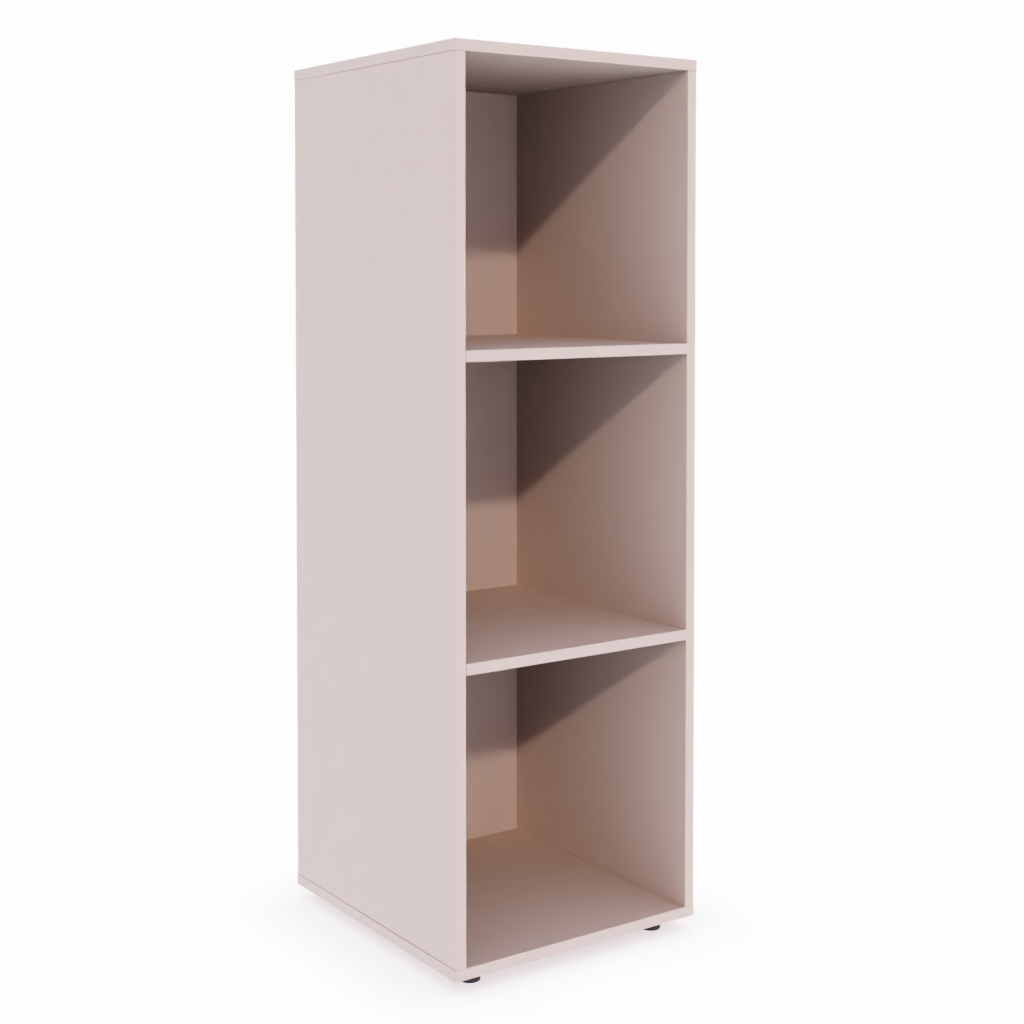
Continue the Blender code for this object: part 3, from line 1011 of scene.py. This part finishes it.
    def build_insert(self) -> None:
        """Turns the barbed insert with its flange."""
        flange_top = self.flange_bottom + self.flange_thickness
        barbs_from = self.insert_top - self.insert_lead
        corners = [
            Corner(self.barrel_radius - self.insert_lead, self.insert_top),
            Corner(self.barrel_radius, barbs_from),
        ]
        for i in range(self.barb_count):
            lower = barbs_from - (i + 1) * self.barb_pitch
            corners.append(Corner(self.barrel_radius + self.barb_height, lower))
            corners.append(Corner(self.barrel_radius, lower))
        corners += [
            Corner(self.barrel_radius, flange_top, self.edge_round / 2),
            Corner(self.flange_radius, flange_top, self.edge_round / 2),
            Corner(self.flange_radius, self.flange_bottom, self.edge_round),
            Corner(self.barrel_bore, self.flange_bottom, self.edge_round / 2),
            Corner(self.barrel_bore, self.insert_top),
        ]
        shape = bmesh.new()
        turn_outline(shape, rounded_outline(corners, closed=True), self.steps, closed=True)
        name = f"barbed_insert_{self.corner}"
        add_piece(name, shape, self.axis, self.zinc, "carcass", self.node("insert"))

    def build(self) -> None:
        """Builds the foot's three pieces."""
        self.build_base()
        self.build_stud()
        self.build_insert()


@dataclass(frozen=True)
class FilmCurve:
    """How light is turned into tones: added contrast, with a soft shoulder up to white."""

    contrast: float = 1.4
    white: float = 8.0
    stops: Sequence[float] = (0.0, 0.02, 0.04, 0.065, 0.1, 0.14, 0.19, 0.25, 0.32, 0.4, 0.5, 0.62, 0.78, 1.0)

    def tone(self, light: float) -> float:
        """The tone that an amount of light gives, both from 0 to 1."""
        exposed = self.white * light**self.contrast
        return exposed * (1.0 + exposed / self.white**2) / (1.0 + exposed)

    def set_view(self) -> None:
        """Puts the curve on the scene's view."""
        view = bpy.context.scene.view_settings
        view.view_transform = "Standard"
        view.use_curve_mapping = True
        mapping = view.curve_mapping
        points = mapping.curves[COMBINED_CURVE].points
        while len(points) < len(self.stops):
            points.new(1.0, 1.0)
        for point, light in zip(points, self.stops):
            point.location = (light, self.tone(light))
            point.handle_type = "AUTO_CLAMPED"
        mapping.update()


@dataclass
class Studio:
    """A pale floor, a white backdrop, a key light from the front left and fill from above and below."""

    backdrop: Colour = (0.9615, 0.955, 0.9615)
    key_travel: Point = (0.60, 1.00, -0.61)
    key_colour: Colour = (0.1785, 0.1320, 0.1055)
    key_angle: float = math.radians(2.5)
    fill_above: Colour = (0.4128, 0.4032, 0.4702)
    fill_below: Colour = (0.5869, 0.5784, 0.6308)
    # The darkest colour and the reach of the contact shade painted on the floor.
    shade_colour: Colour = (0.41, 0.33, 0.35)
    shade_reach: float = 0.135
    floor_radius: float = 30.0
    floor_sides: int = 96

    def lay_floor(self) -> bpy.types.Object:
        """Lays a round floor, which the camera sees as a white glow with a painted contact shade.

        Returns:
            The floor.
        """
        nodes = FinishNodes("studio_floor")
        nodes.shader.inputs["Roughness"].default_value = 1.0
        nodes.shader.inputs["Specular IOR Level"].default_value = 0.0
        # Painted contact shade: ambient occlusion darkens the glow that the camera sees near the locker.
        cover = nodes.tree.nodes.new("ShaderNodeAmbientOcclusion")
        cover.inputs["Distance"].default_value = self.shade_reach
        shade = nodes.ramp(cover.outputs["AO"], (0.0, self.shade_colour), (1.0, self.backdrop))
        white = nodes.tree.nodes.new("ShaderNodeEmission")
        nodes.feed(white.inputs["Color"], shade)
        choice = nodes.tree.nodes.new("ShaderNodeMixShader")
        seen = nodes.tree.nodes.new("ShaderNodeLightPath")
        nodes.feed(choice.inputs["Fac"], seen.outputs["Is Camera Ray"])
        nodes.feed(choice.inputs[1], nodes.shader.outputs["BSDF"])
        nodes.feed(choice.inputs[2], white.outputs["Emission"])
        nodes.feed(nodes.tree.nodes["Material Output"].inputs["Surface"], choice.outputs["Shader"])
        shape = bmesh.new()
        bmesh.ops.create_circle(shape, cap_ends=True, radius=self.floor_radius, segments=self.floor_sides)
        mesh = bpy.data.meshes.new("studio_floor")
        shape.to_mesh(mesh)
        shape.free()
        mesh.materials.append(nodes.material)
        floor = bpy.data.objects.new("studio_floor", mesh)
        bpy.context.scene.collection.objects.link(floor)
        return floor

    def hang_light(self, name: str, colour: Colour, travel: Point, angle: float) -> bpy.types.Object:
        """Hangs a far light.

        Args:
            name: the light's name.
            colour: its colour and strength.
            travel: the way that its light goes.
            angle: how wide it is, seen from the locker.

        Returns:
            The light.
        """
        light = bpy.data.lights.new(name, "SUN")
        # At this strength a matt white face square to the light shows the light's colour.
        light.energy = math.pi
        light.color = colour
        light.angle = angle
        lamp = bpy.data.objects.new(name, light)
        lamp.rotation_euler = Vector(travel).to_track_quat("-Z", "Y").to_euler()
        bpy.context.scene.collection.objects.link(lamp)
        return lamp

    def light_locker(self, floor: bpy.types.Object) -> None:
        """Hangs the key light, which leaves the floor alone, and two half domes of fill that go through it.

        Args:
            floor: the floor.
        """
        left_out = bpy.data.collections.new("left_out_of_light")
        left_out.objects.link(floor)
        left_out.collection_objects[0].light_linking.link_state = "EXCLUDE"
        key = self.hang_light("key", self.key_colour, self.key_travel, self.key_angle)
        key.light_linking.receiver_collection = left_out
        above = self.hang_light("fill_above", self.fill_above, DOWN, math.pi)
        below = self.hang_light("fill_below", self.fill_below, UP, math.pi)
        for fill in (above, below):
            fill.light_linking.blocker_collection = left_out
            # Fill that isn't bounced on keeps the shade inside the locker deep.
            fill.data.cycles.max_bounces = 0
            fill.data.cycles.use_multiple_importance_sampling = False

    def hang_backdrop(self) -> None:
        """Hangs a white backdrop that only the camera sees."""
        world = bpy.data.worlds.new("studio")
        world.use_nodes = True
        tree = world.node_tree
        backdrop = tree.nodes["Background"]
        backdrop.inputs["Color"].default_value = (*self.backdrop, 1.0)
        seen = tree.nodes.new("ShaderNodeLightPath")
        tree.links.new(seen.outputs["Is Camera Ray"], backdrop.inputs["Strength"])
        bpy.context.scene.world = world

    def build(self) -> None:
        """Lays the floor, lights the locker and sets the view's curve."""
        self.light_locker(self.lay_floor())
        self.hang_backdrop()
        FilmCurve().set_view()


@dataclass
class PhotoCamera:
    """The camera, at the photograph's place and angle. Its lens and upright sensor are in millimetres."""

    location: Point = (-1.36658, -2.00748, 0.92958)
    heading: float = -0.6104
    pitch: float = math.radians(-1.970)
    lens: float = 59.741
    sensor: Range = (24.0, 36.0)
    shift: float = -0.18

    def build(self) -> None:
        """Places the camera and makes it the scene's own."""
        camera = bpy.data.cameras.new("photo_camera")
        camera.lens = self.lens
        camera.sensor_fit = "VERTICAL"
        camera.sensor_width, camera.sensor_height = self.sensor
        camera.shift_y = self.shift
        stand = bpy.data.objects.new("photo_camera", camera)
        stand.location = self.location
        stand.rotation_euler = (math.pi / 2 + self.pitch, 0.0, self.heading)
        bpy.context.scene.collection.objects.link(stand)
        bpy.context.scene.camera = stand


def main() -> None:
    """Builds the camera, the studio, the carcass and the feet, and reports each piece."""
    logging.basicConfig(level=logging.INFO, format="%(name)s: %(message)s")
    PhotoCamera().build()
    Studio().build()
    Carcass().dress()
    plastic = MouldedPlastic("black_moulding").material()
    zinc = ZincPlate("zinc_plate").material()
    for end in ENDS:
        for side in SIDES:
            LevellingFoot(f"{end}_{side}", plastic, zinc).build()


if __name__ == "__main__":
    main()
